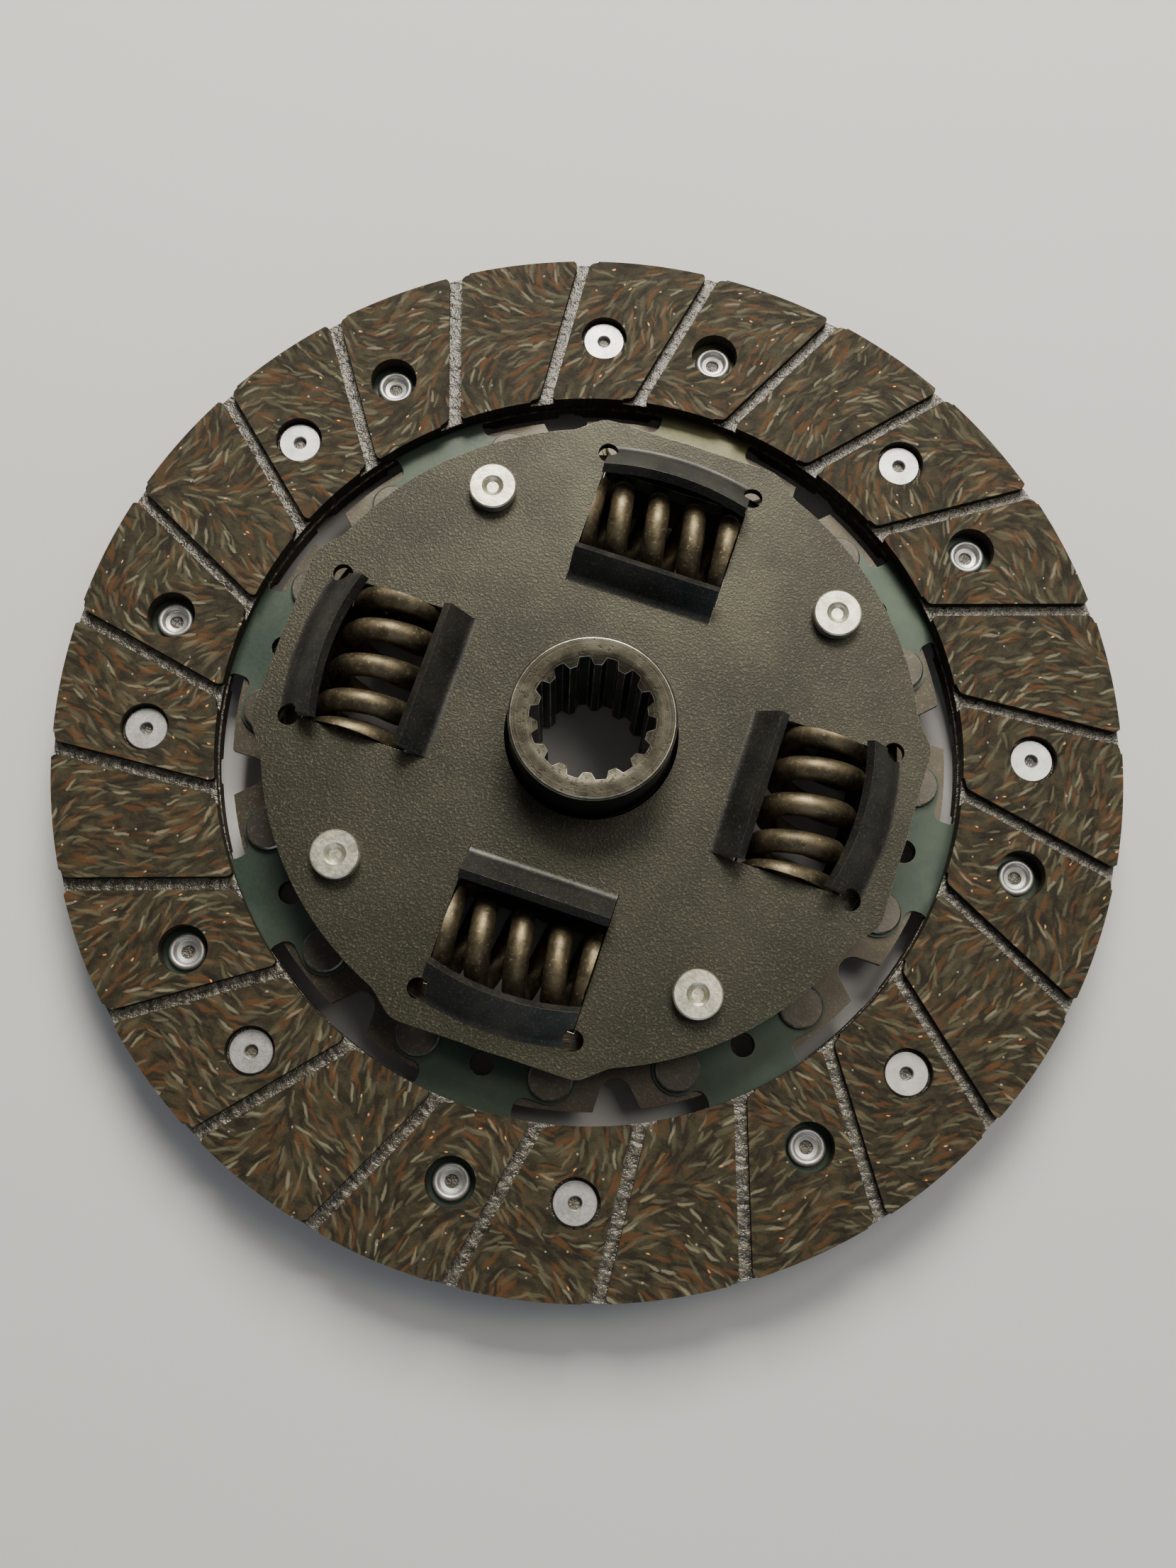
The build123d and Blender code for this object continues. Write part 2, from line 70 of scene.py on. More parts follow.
def add(primitive, name, **settings):
    """Adds a primitive with nothing else selected, and names it."""
    bpy.ops.object.select_all(action="DESELECT")
    getattr(bpy.ops.mesh, primitive)(**settings)
    piece = bpy.context.active_object
    piece.name = piece.data.name = name
    return piece


def settle(piece):
    """Puts the piece's place, turn and scale into its mesh."""
    pick(piece)
    bpy.ops.object.transform_apply(location=True, rotation=True, scale=True)


def modify(piece, kind, **settings):
    """Adds a modifier with these settings and applies it."""
    pick(piece)
    modifier = piece.modifiers.new(kind.title(), kind)
    for key, value in settings.items():
        setattr(modifier, key, value)
    bpy.ops.object.modifier_apply(modifier=modifier.name)


def clean(piece):
    """Merges doubled points and turns every face outwards."""
    pick(piece)
    bpy.ops.object.mode_set(mode="EDIT")
    bpy.ops.mesh.select_all(action="SELECT")
    bpy.ops.mesh.remove_doubles(threshold=0.002 * MM)
    bpy.ops.mesh.normals_make_consistent(inside=False)
    bpy.ops.object.mode_set(mode="OBJECT")


def smooth(piece, angle):
    """Shades smoothly, except over edges sharper than the angle; large faces stay flat."""
    pick(piece)
    bpy.ops.object.shade_smooth_by_angle(angle=radians(angle))
    modify(piece, "WEIGHTED_NORMAL", keep_sharp=True, weight=60)


def copy_of(piece, name, placing):
    """A copy with a mesh of its own, moved by the placing matrix."""
    copy = bpy.data.objects.new(name, piece.data.copy())
    copy.data.transform(placing)
    bpy.context.scene.collection.objects.link(copy)
    return copy


def joined(pieces, name):
    """All the pieces as one object."""
    bpy.ops.object.select_all(action="DESELECT")
    for piece in pieces:
        piece.select_set(True)
    bpy.context.view_layer.objects.active = pieces[0]
    bpy.ops.object.join()
    pieces[0].name = pieces[0].data.name = name
    return pieces[0]


def about_axis(angle):
    """A turn about the hub's axis, in degrees."""
    return Matrix.Rotation(radians(angle), 4, "Z")


def dress(piece, *materials):
    """Gives the piece these materials, in place of any it had."""
    piece.data.materials.clear()
    for material in materials:
        piece.data.materials.append(material)


def report(piece):
    """Prints how many faces the piece has, and its size."""
    size = [max(v.co[k] for v in piece.data.vertices) - min(v.co[k] for v in piece.data.vertices)
            for k in range(3)]
    print(f"{piece.name}: {len(piece.data.polygons)} faces,",
          "x".join(f"{length / MM:.1f}" for length in size), "mm")

# %% [markdown]
# ## The camera
# The photograph was taken from above and a little below the disc's centre line, close enough for
# the far rim to look smaller. The camera stands where the circles of the disc say it stood: the
# ellipses of the rim, the bore and the spline fix its height, its lean and its lens.

# %% Camera
PHOTO_TURN = 18.43            # from the frame's upright to the photograph's, in degrees
CAMERA_PITCH = 12.81
CAMERA_ROLL = -1.17
CAMERA_PLACE = (-6.18 * MM, -71.26 * MM, 292.42 * MM)
IMAGE_HEIGHT_PX = 2212
FOCAL_PX = 2170.3
SENSOR_MM = 36.0

camera_data = bpy.data.cameras.new("photo_camera")
camera_data.sensor_width = SENSOR_MM
camera_data.lens = FOCAL_PX / IMAGE_HEIGHT_PX * SENSOR_MM
camera_data.clip_start = 0.01
camera = bpy.data.objects.new("photo_camera", camera_data)
bpy.context.scene.collection.objects.link(camera)
camera.matrix_world = (about_axis(PHOTO_TURN)
                       @ Matrix.Translation(CAMERA_PLACE)
                       @ Matrix.Rotation(radians(CAMERA_ROLL), 4, "Y")
                       @ Matrix.Rotation(radians(CAMERA_PITCH), 4, "X"))
bpy.context.scene.camera = camera
print("camera at", [round(c / MM, 1) for c in camera.matrix_world.translation], "mm")

# %% [markdown]
# ## Floor and lights
# A pale sheet of paper under the disc, one large soft lamp beyond its top edge that rakes over the
# springs and lips, and two weaker ones, overhead and at the lower side, so that nothing drowns in
# black. Lamps are placed by the photograph's right and up, in metres from the disc.

# %% Studio
FLOOR_SIZE = 6.0              # in metres
AIR_COLOR, AIR_STRENGTH = (0.90, 0.88, 0.84, 1), 0.15

floor = add("primitive_plane_add", "floor", size=FLOOR_SIZE, location=(0, 0, 0))
settle(floor)

UP = Vector((-sin(radians(PHOTO_TURN)), cos(radians(PHOTO_TURN)), 0))
RIGHT = Vector((cos(radians(PHOTO_TURN)), sin(radians(PHOTO_TURN)), 0))


def soft_lamp(name, right, up, height, size, power, tint):
    """A square area light that looks at the disc."""
    data = bpy.data.lights.new(name, "AREA")
    data.size = size
    data.energy = power
    data.color = tint
    lamp = bpy.data.objects.new(name, data)
    lamp.location = RIGHT * right + UP * up + Vector((0, 0, height))
    lamp.rotation_euler = (-lamp.location).to_track_quat("-Z", "Y").to_euler()
    bpy.context.scene.collection.objects.link(lamp)


soft_lamp("window_light", right=0.06, up=0.66, height=0.70, size=0.45, power=13.0,
          tint=(1.0, 0.95, 0.84))
soft_lamp("overhead", right=0.45, up=0.25, height=1.00, size=0.50, power=3.0,
          tint=(1.0, 0.94, 0.82))
soft_lamp("low_fill", right=0.10, up=-0.80, height=0.45, size=0.70, power=1.0,
          tint=(0.68, 0.82, 1.0))

world = bpy.data.worlds.new("studio_air")
world.use_nodes = True
world.node_tree.nodes["Background"].inputs["Color"].default_value = AIR_COLOR
world.node_tree.nodes["Background"].inputs["Strength"].default_value = AIR_STRENGTH
bpy.context.scene.world = world

# %% [markdown]
# ## Small words for building materials
# A material is a little graph. `node` adds one box of it, `mix` blends two colours, `calc` does a
# sum and `ramp` turns a number into a soft 0-to-1 mask. Every pattern reads the object's own
# coordinates, so it stays on the piece when the disc turns.

# %% Graph helpers
def node(tree, kind, inputs=None, **settings):
    made = tree.nodes.new("ShaderNode" + kind)
    for key, value in settings.items():
        setattr(made, key, value)
    for key, value in (inputs or {}).items():
        if isinstance(value, bpy.types.NodeSocket):
            tree.links.new(value, made.inputs[key])
        else:
            made.inputs[key].default_value = value
    return made


def calc(tree, operation, first, second=0.0, third=0.0):
    values = {0: first, 1: second, 2: third}
    return node(tree, "Math", values, operation=operation).outputs[0]


def ramp(tree, value, low, high):
    """0 below low, 1 above high, and a smooth rise between them; low may be the larger."""
    inputs = {"Value": value, "From Min": low, "From Max": high, "To Min": 0.0, "To Max": 1.0}
    if low > high:
        inputs.update({"From Min": high, "From Max": low, "To Min": 1.0, "To Max": 0.0})
    return node(tree, "MapRange", inputs, interpolation_type="SMOOTHSTEP").outputs[0]


def mix(tree, share, first, second):
    """The first colour where share is 0, the second where it is 1."""
    return node(tree, "Mix", {0: share, 6: first, 7: second}, data_type="RGBA").outputs[2]


def noise(tree, place, per_metre, detail=3.0, roughness=0.5):
    inputs = {"Vector": place, "Scale": per_metre, "Detail": detail, "Roughness": roughness}
    return node(tree, "TexNoise", inputs).outputs["Fac"]


def place_of(tree):
    return node(tree, "TexCoord").outputs["Object"]


def material(name, metallic=0.0, **sockets):
    """A new material, its tree and its shader, with uniform values on the shader's own sockets."""
    made = bpy.data.materials.new(name)
    made.use_nodes = True
    shader = made.node_tree.nodes["Principled BSDF"]
    shader.inputs["Metallic"].default_value = metallic
    for key, value in sockets.items():
        shader.inputs[key.replace("_", " ")].default_value = value
    return made, made.node_tree, shader


def finish(tree, shader, color=None, roughness=None, height=None, depth=0.0, metallic=None):
    """Links what varies over the surface; depth is the bump's depth in millimetres."""
    if color is not None:
        tree.links.new(color, shader.inputs["Base Color"])
    if roughness is not None:
        tree.links.new(roughness, shader.inputs["Roughness"])
    if metallic is not None:
        tree.links.new(metallic, shader.inputs["Metallic"])
    if height is not None:
        bump = node(tree, "Bump", {"Height": height, "Distance": depth * MM, "Strength": 1.0})
        tree.links.new(bump.outputs[0], shader.inputs["Normal"])

# %% [markdown]
# ## The friction lining
# The lining is yarn pressed in resin and ground flat. What one sees is a dark brown ground full of
# short cut fibres, some rusty, some the colour of straw, lying in swirls, with a few glints of
# brass wire. Each layer of fibres is a Voronoi pattern: every cell holds one fibre, turned by a
# broad noise, so that neighbours lie nearly the same way, and cut off by a soft ellipse. All layers
# read the same broad noise, so the fibres of every colour flow together.

# %% Friction lining
SWIRLS_PER_METRE = 26.0
SWIRL_TURN, STRAY_TURN = 11.0, 0.7      # in radians, for the broad noise and for each fibre
BOW = 0.4                     # how far a fibre curves aside at its ends, in widths


def fibres(tree, place, per_metre, length, width, shift, kept):
    """1 on one fibre in each kept cell, 0 between them. Length and width are from its middle to its
    edge, in millimetres, kept is the share of the cells that have a fibre, and each layer has a
    shift of its own."""
    away = (shift, shift * 0.7, 0)
    moved = node(tree, "VectorMath", {0: place, 1: away}, operation="ADD").outputs[0]
    cells = node(tree, "TexVoronoi", {"Vector": moved, "Scale": per_metre}, voronoi_dimensions="2D")
    from_middle = node(tree, "VectorMath", {0: moved, 1: cells.outputs["Position"]},
                       operation="SUBTRACT").outputs[0]
    chance = node(tree, "SeparateColor", {"Color": cells.outputs["Color"]})
    home = node(tree, "VectorMath", {0: cells.outputs["Position"], 1: away},
                operation="SUBTRACT").outputs[0]
    swirl = noise(tree, home, SWIRLS_PER_METRE, detail=1.5)
    stray = calc(tree, "MULTIPLY", chance.outputs[0], STRAY_TURN)
    lean = calc(tree, "MULTIPLY_ADD", swirl, SWIRL_TURN, stray)
    turned = node(tree, "VectorRotate", {"Vector": from_middle, "Angle": lean},
                  rotation_type="Z_AXIS").outputs[0]
    part = node(tree, "SeparateXYZ", {0: turned})
    along = calc(tree, "DIVIDE", part.outputs[0], length * MM)
    bow = calc(tree, "MULTIPLY", calc(tree, "MULTIPLY", along, along),
               calc(tree, "MULTIPLY_ADD", chance.outputs[1], 2 * BOW, -BOW))
    across = calc(tree, "ADD", calc(tree, "DIVIDE", part.outputs[1], width * MM), bow)
    reach = calc(tree, "ADD", calc(tree, "MULTIPLY", along, along),
                 calc(tree, "MULTIPLY", across, across))
    return calc(tree, "MULTIPLY", ramp(tree, reach, 1.0, 0.10),
                calc(tree, "LESS_THAN", chance.outputs[2], kept))


PACK_MIDDLE = 9.6             # height of the middle between the facings, in millimetres
GROOVE_FLOOR = 2.5            # from that height to the groove floors
FRICTION_FACE = 4.2           # from that height to the friction faces
FLOOR_BAND = (0.4, 1.0)       # over the groove floors, where their look gives way to the pads' look
WOBBLES_PER_METRE, WOBBLE = 420.0, 1.0  # bends the fibres, by half of this each way at most

lining, tree, shader = material("friction_lining")
place = place_of(tree)
wobble = node(tree, "TexNoise", {"Vector": place, "Scale": WOBBLES_PER_METRE, "Detail": 2.0})
wobble = node(tree, "VectorMath", {0: wobble.outputs["Color"], 1: (0.5, 0.5, 0.5)},
              operation="SUBTRACT").outputs[0]
wobble = node(tree, "VectorMath", {0: wobble, 3: WOBBLE * MM}, operation="SCALE").outputs[0]
bent_place = node(tree, "VectorMath", {0: place, 1: wobble}, operation="ADD").outputs[0]
ground = mix(tree, ramp(tree, noise(tree, place, 260.0, 6.0, 0.75), 0.28, 0.72),
             (0.014, 0.0115, 0.0065, 1), (0.060, 0.052, 0.028, 1))
rusty_areas = ramp(tree, noise(tree, bent_place, 130.0, 4.0, 0.65), 0.50, 0.72)
ground = mix(tree, calc(tree, "MULTIPLY", rusty_areas, 0.60), ground, (0.080, 0.036, 0.013, 1))
umber = (0.013, 0.010, 0.006, 1)
rust = (0.115, 0.047, 0.015, 1)
straw = (0.150, 0.134, 0.080, 1)
pale_straw = (0.29, 0.265, 0.18, 1)
body_color = ground
fibre_height = None
for per_metre, length, width, shift, kept, color, strength in (
        (190.0, 3.4, 0.75, 0.00, 0.80, umber, 0.60), (200.0, 3.2, 0.60, 0.31, 0.80, straw, 0.30),
        (200.0, 3.0, 0.60, 0.62, 0.70, rust, 0.60), (220.0, 3.0, 0.50, 0.93, 0.80, umber, 0.70),
        (230.0, 2.8, 0.42, 1.24, 0.75, straw, 0.45), (260.0, 2.4, 0.42, 1.55, 0.55, rust, 0.60),
        (280.0, 2.4, 0.34, 1.86, 0.65, umber, 0.70), (300.0, 2.2, 0.30, 2.50, 0.60, straw, 0.55),
        (270.0, 2.2, 0.36, 2.80, 0.28, pale_straw, 0.55)):
    layer = fibres(tree, bent_place, per_metre, length, width, shift, kept)
    body_color = mix(tree, calc(tree, "MULTIPLY", layer, strength), body_color, color)
    fibre_height = layer if fibre_height is None else calc(tree, "MAXIMUM", fibre_height, layer)
dots = fibres(tree, bent_place, per_metre=260.0, length=0.26, width=0.22, shift=3.1, kept=0.22)
body_color = mix(tree, calc(tree, "MULTIPLY", dots, 0.6), body_color, (0.52, 0.50, 0.44, 1))
brass = (0.95, 0.47, 0.18, 1)
glints = fibres(tree, bent_place, per_metre=300.0, length=0.42, width=0.17, shift=2.2, kept=0.09)
body_color = mix(tree, glints, body_color, brass)
# the cut edges of the ring and the walls of the grooves and holes are plain, without fibres, and
# darkened as painted shade
outward = node(tree, "SeparateXYZ", {0: node(tree, "TexCoord").outputs["Normal"]}).outputs[2]
painted_shade_wall = ramp(tree, calc(tree, "ABSOLUTE", outward), 0.80, 0.50)
body_color = mix(tree, calc(tree, "MULTIPLY", painted_shade_wall, 0.85), body_color, (0.026, 0.020, 0.013, 1))
# the groove floors are milled: dark and glossy, with small chips whose bumps catch the light; the
# chips' pale colour is painted highlight
height = node(tree, "SeparateXYZ", {0: place}).outputs[2]
from_middle = calc(tree, "ABSOLUTE", calc(tree, "SUBTRACT", height, PACK_MIDDLE * MM))
band_low, band_high = ((GROOVE_FLOOR + above) * MM for above in FLOOR_BAND)
in_groove = ramp(tree, from_middle, band_high, band_low)
chips = noise(tree, place, 650.0, 3.0, 0.65)
floor_color_with_painted_glints = mix(tree, ramp(tree, chips, 0.30, 0.75),
                  (0.022, 0.019, 0.014, 1), (0.165, 0.148, 0.108, 1))
on_floor = calc(tree, "MULTIPLY", in_groove, calc(tree, "SUBTRACT", 1.0, painted_shade_wall))
body_color = mix(tree, on_floor, body_color, floor_color_with_painted_glints)
grit = noise(tree, place, 2600.0, 2.0)
lining_height = calc(tree, "ADD", calc(tree, "MULTIPLY", fibre_height, 0.25),
                     calc(tree, "MULTIPLY", grit, 0.5))
floor_chips = calc(tree, "MULTIPLY", chips, on_floor)
lining_height = calc(tree, "MULTIPLY_ADD", floor_chips, 5.0, lining_height)
dullness = calc(tree, "MULTIPLY_ADD", on_floor, -0.36, calc(tree, "MULTIPLY_ADD", grit, 0.25, 0.58))
shine = calc(tree, "MULTIPLY_ADD", on_floor, 0.80, 0.24)
tree.links.new(shine, shader.inputs["Specular IOR Level"])
finish(tree, shader, body_color, dullness, lining_height, 0.10, glints)
print("lining nodes:", len(tree.nodes))

# %% [markdown]
# ## Steels
# The same few ingredients make every steel here: a colour that drifts, a fine speckle where the
# surface is etched by phosphating, and a roughness that follows both. Edges that have rubbed
# against something get a second, brighter material, laid on by the bevel itself.

# %% Steel finishes
def steel(name, dark, light, metallic, gloss, speckle_per_metre, speckle, depth, drift=45.0):
    """An etched or plated steel; speckle is how strongly the fine grain shows, gloss the mean
    roughness, and drift how many clouds of colour lie in a metre."""
    made, tree, shader = material(name, metallic=metallic)
    place = place_of(tree)
    cloud = ramp(tree, noise(tree, place, drift, 4.0, 0.6), 0.30, 0.72)
    grain = noise(tree, place, speckle_per_metre, 2.0, 0.7)
    spark = ramp(tree, grain, 0.52, 0.78)
    color = mix(tree, cloud, dark, light)
    bright = tuple(min(1.0, 2.6 * c) for c in light[:3]) + (1,)
    color = mix(tree, calc(tree, "MULTIPLY", spark, speckle), color, bright)
    rough = calc(tree, "MULTIPLY_ADD", grain, 0.22, gloss - 0.11)
    finish(tree, shader, color, calc(tree, "MULTIPLY_ADD", cloud, -0.06, rough), grain, depth)
    return made


plate_finish = steel("phosphated_plate", (0.022, 0.021, 0.013, 1), (0.044, 0.042, 0.027, 1),
                     metallic=0.50, gloss=0.46, speckle_per_metre=2100.0, speckle=1.00, depth=0.090)
# the lips' finish is smoother than the plate's, and their cooler grey-blue colour is painted
# reflection
lip_finish_with_painted_reflection = steel("phosphated_lip_painted_reflection", (0.025, 0.027, 0.026, 1), (0.062, 0.062, 0.054, 1),
                   metallic=0.60, gloss=0.43, speckle_per_metre=2000.0, speckle=0.55, depth=0.040,
                   drift=110.0)
carrier_finish = steel("carrier_steel", (0.058, 0.050, 0.038, 1), (0.105, 0.091, 0.070, 1),
                       metallic=0.65, gloss=0.45, speckle_per_metre=2200.0, speckle=0.45, depth=0.025)
rivet_steel = steel("rivet_steel", (0.056, 0.050, 0.040, 1), (0.105, 0.095, 0.078, 1),
                    metallic=0.65, gloss=0.42, speckle_per_metre=1700.0, speckle=0.40, depth=0.025)
hub_side = steel("blackened_hub", (0.014, 0.015, 0.018, 1), (0.040, 0.042, 0.048, 1),
                 metallic=0.70, gloss=0.38, speckle_per_metre=1500.0, speckle=0.15, depth=0.015)
damper_steel = steel("damper_steel", (0.10, 0.10, 0.10, 1), (0.19, 0.18, 0.17, 1),
                     metallic=0.90, gloss=0.36, speckle_per_metre=1500.0, speckle=0.20, depth=0.010)
worn_edge = steel("worn_edge", (0.18, 0.165, 0.135, 1), (0.56, 0.53, 0.46, 1),
                  metallic=0.80, gloss=0.34, speckle_per_metre=900.0, speckle=0.45, depth=0.020,
                  drift=260.0)
print("steels ready")

# %% [markdown]
# The hub's end face is turned on a lathe, so its gloss runs round in fine circles, and the springs
# are drawn wire: dark, a little bronze, with bright scratches. The pins are zinc-plated, the tubular
# rivets satin, and the blades wear a thin lacquer that lets the steel shine through.

# %% Turned faces, wire and lacquer
def turned_face(name, dark, light, rings_per_metre, gloss, pits):
    """A lathe-turned face; rings lie about the hub's axis."""
    made, tree, shader = material(name, metallic=0.85)
    place = place_of(tree)
    part = node(tree, "SeparateXYZ", {0: place})
    squares = [calc(tree, "MULTIPLY", part.outputs[k], part.outputs[k]) for k in (0, 1)]
    radius = calc(tree, "SQRT", calc(tree, "ADD", *squares))
    spread = node(tree, "CombineXYZ", {0: calc(tree, "MULTIPLY", radius, rings_per_metre)})
    rings = noise(tree, spread.outputs[0], 1.0, 3.0, 0.7)
    cloud = ramp(tree, noise(tree, place, 260.0, 4.0, 0.6), 0.35, 0.70)
    color = mix(tree, cloud, dark, light)
    color = mix(tree, calc(tree, "MULTIPLY", ramp(tree, rings, 0.45, 0.75), 0.6), color,
                tuple(2.2 * c for c in light[:3]) + (1,))
    pit = ramp(tree, noise(tree, place, 1100.0, 3.0, 0.7), 0.54, 0.68)
    color = mix(tree, calc(tree, "MULTIPLY", pit, pits), color, (0.03, 0.025, 0.02, 1))
    rise = calc(tree, "MULTIPLY_ADD", pit, -1.0, rings)
    finish(tree, shader, color, calc(tree, "MULTIPLY_ADD", rings, 0.25, gloss - 0.12), rise, 0.025)
    return made


hub_face = turned_face("turned_hub_face", (0.028, 0.026, 0.018, 1), (0.080, 0.074, 0.056, 1),
                       rings_per_metre=3200.0, gloss=0.42, pits=0.80)

spring_wire, tree, shader = material("spring_wire", metallic=0.92)
place = place_of(tree)
mottle = ramp(tree, noise(tree, place, 240.0, 5.0, 0.65), 0.28, 0.75)
scratch = noise(tree, place, 1500.0, 4.0, 0.7)
color = mix(tree, mottle, (0.080, 0.068, 0.046, 1), (0.245, 0.200, 0.125, 1))
color = mix(tree, ramp(tree, scratch, 0.56, 0.76), color, (0.50, 0.42, 0.27, 1))
finish(tree, shader, color, calc(tree, "MULTIPLY_ADD", scratch, 0.36, 0.32), scratch, 0.035)

zinc, tree, shader = material("zinc_pin", metallic=0.9)
place = place_of(tree)
cloud = ramp(tree, noise(tree, place, 420.0, 4.0, 0.6), 0.30, 0.70)
flake = noise(tree, place, 1900.0, 2.0, 0.6)
color = mix(tree, cloud, (0.50, 0.48, 0.38, 1), (0.86, 0.84, 0.72, 1))
finish(tree, shader, color, calc(tree, "MULTIPLY_ADD", flake, 0.30, 0.20), flake, 0.030)

tubular, tree, shader = material("tubular_rivet", metallic=0.85)
place = place_of(tree)
cloud = ramp(tree, noise(tree, place, 300.0, 4.0, 0.6), 0.30, 0.70)
satin = noise(tree, place, 2400.0, 2.0, 0.6)
color = mix(tree, cloud, (0.50, 0.50, 0.49, 1), (0.72, 0.72, 0.71, 1))
finish(tree, shader, color, calc(tree, "MULTIPLY_ADD", satin, 0.25, 0.30), satin, 0.010)


def lacquered(name, dark, light):
    """Thin lacquer on spring steel."""
    made, tree, shader = material(name, metallic=0.35)
    place = place_of(tree)
    cloud = ramp(tree, noise(tree, place, 70.0, 4.0, 0.6), 0.30, 0.75)
    grain = noise(tree, place, 1700.0, 2.0, 0.6)
    finish(tree, shader, mix(tree, cloud, dark, light),
           calc(tree, "MULTIPLY_ADD", grain, 0.20, 0.28), grain, 0.008)
    return made


lacquer = lacquered("sage_lacquer", (0.035, 0.056, 0.041, 1), (0.064, 0.092, 0.068, 1))
# painted highlight: one blade's lacquer is painted lighter and yellower
painted_highlight_lacquer = lacquered("painted_highlight_lacquer", (0.080, 0.085, 0.038, 1), (0.140, 0.138, 0.066, 1))

bare_edge, tree, shader = material("sheared_edge", metallic=0.9)
place = place_of(tree)
color = mix(tree, noise(tree, place, 800.0, 3.0), (0.22, 0.21, 0.18, 1), (0.55, 0.53, 0.47, 1))
finish(tree, shader, color, calc(tree, "MULTIPLY_ADD", noise(tree, place, 1600.0), 0.3, 0.25))

friction_plastic, tree, shader = material("friction_plastic")
place = place_of(tree)
color = mix(tree, noise(tree, place, 500.0, 4.0), (0.10, 0.085, 0.055, 1), (0.20, 0.175, 0.12, 1))
finish(tree, shader, color, calc(tree, "MULTIPLY_ADD", noise(tree, place, 900.0), 0.2, 0.45))

paper, tree, shader = material("paper", Roughness=0.8)
place = place_of(tree)
color = mix(tree, noise(tree, place, 6.0), (0.74, 0.74, 0.75, 1), (0.78, 0.78, 0.785, 1))
finish(tree, shader, color)
dress(floor, paper)
print("materials:", len(bpy.data.materials))

# %% [markdown]
# ## The friction facings
# A facing is a flat ring. On the real one the grooves are milled, so the model does the same: a
# cylinder is bored out, and one groove cutter is copied round it and taken away. The cutter starts
# as a strip of small squares. Its ends flare, which rounds the corners of the pads, and its floor
# goes up and down a little, which gives the chipped, serrated floor that catches the light.

# %% Groove cutter
FACING_R, FACING_BORE_R, FACING_T = 100.0, 70.0, 3.5
GROOVES, GROOVE_W, GROOVE_DEPTH = 24, 2.4, 1.7
GROOVE_OFFSET, GROOVE_START = 26.0, 4.0         # from the axis, and the first one's angle
PAD_CORNER_R = 1.5
FRONT_TOP = PACK_MIDDLE + FRICTION_FACE
SEGMENTS, SEGMENT_STEP = 8, 45.0
RIVET_R, RIVET_HOLE_R = 83.2, 4.5
FRONT_RIVET_ANGLE, REAR_RIVET_ANGLE = 16.55, 1.2
RECESS_DEPTH = 2.5
CUTTER_MIDDLE, CUTTER_LENGTH, CUTTER_HEIGHT = 81.0, 38.0, 3.0
CUTTER_STEPS = 88
DIP_LOW, DIP_HIGH = -0.16, 0.10         # the floor's ups and downs along one wall
CALM_SIDE = 0.4               # share of them along the other wall
DICE_SEED = 11

dice = random.Random(DICE_SEED)


def flare(depth_in):
    """How much wider the groove is, this far inside the ring's edge."""
    if depth_in >= PAD_CORNER_R:
        return 0.0
    inside = max(depth_in, 0.0)
    return PAD_CORNER_R - sqrt(PAD_CORNER_R ** 2 - (PAD_CORNER_R - inside) ** 2)


strip = add("primitive_grid_add", "groove_cutter", size=1.0, x_subdivisions=CUTTER_STEPS,
            y_subdivisions=1)
strip.scale = (CUTTER_LENGTH * MM, GROOVE_W * MM, 1.0)
strip.location = (CUTTER_MIDDLE * MM, GROOVE_OFFSET * MM, 0)
settle(strip)
columns = sorted({round(v.co.x, 7) for v in strip.data.vertices})
dips = {x: dice.uniform(DIP_LOW, DIP_HIGH) for x in columns}
for v in strip.data.vertices:
    side = 1 if v.co.y / MM > GROOVE_OFFSET else -1
    wall = GROOVE_OFFSET + side * GROOVE_W / 2
    outer_x = sqrt(FACING_R ** 2 - wall ** 2)
    inner_x = sqrt(FACING_BORE_R ** 2 - wall ** 2)
    x = v.co.x / MM
    v.co.y = (wall + side * flare(min(outer_x - x, x - inner_x))) * MM
    dip = dips[round(v.co.x, 7)] * (1 if side > 0 else CALM_SIDE)
    v.co.z = (FRONT_TOP - GROOVE_DEPTH + dip) * MM
pick(strip)
bpy.ops.object.mode_set(mode="EDIT")
bpy.ops.mesh.select_all(action="SELECT")
bpy.ops.mesh.extrude_region_move(TRANSFORM_OT_translate={"value": (0, 0, CUTTER_HEIGHT * MM)})
bpy.ops.object.mode_set(mode="OBJECT")
clean(strip)
report(strip)

# %% [markdown]
# Under each rivet a facing has a hole: a recess for the heads of its own rivets, and a clear hole
# for the rolled ends of the other facing's rivets. They are taken away together with the grooves,
# and a fine bevel then breaks the edges, as wear does.

# %% Ring, grooves and rivet holes
def cylinder(name, radius, low, high, angle=0.0, at_radius=0.0, vertices=64):
    """A closed cylinder standing between two heights, in millimetres, at a place on the disc."""
    piece = add("primitive_cylinder_add", name, radius=radius * MM, depth=(high - low) * MM,
                vertices=vertices, location=(at_radius * cos(radians(angle)) * MM,
                                             at_radius * sin(radians(angle)) * MM,
                                             (low + high) / 2 * MM))
    settle(piece)
    return piece


BORE_LOW, BORE_HIGH = 0.0, 30.0         # from below the facing to above it
HOLE_LOW, HOLE_HIGH = 5.0, 20.0         # the same for the clear holes
PAD_EDGE = 0.18

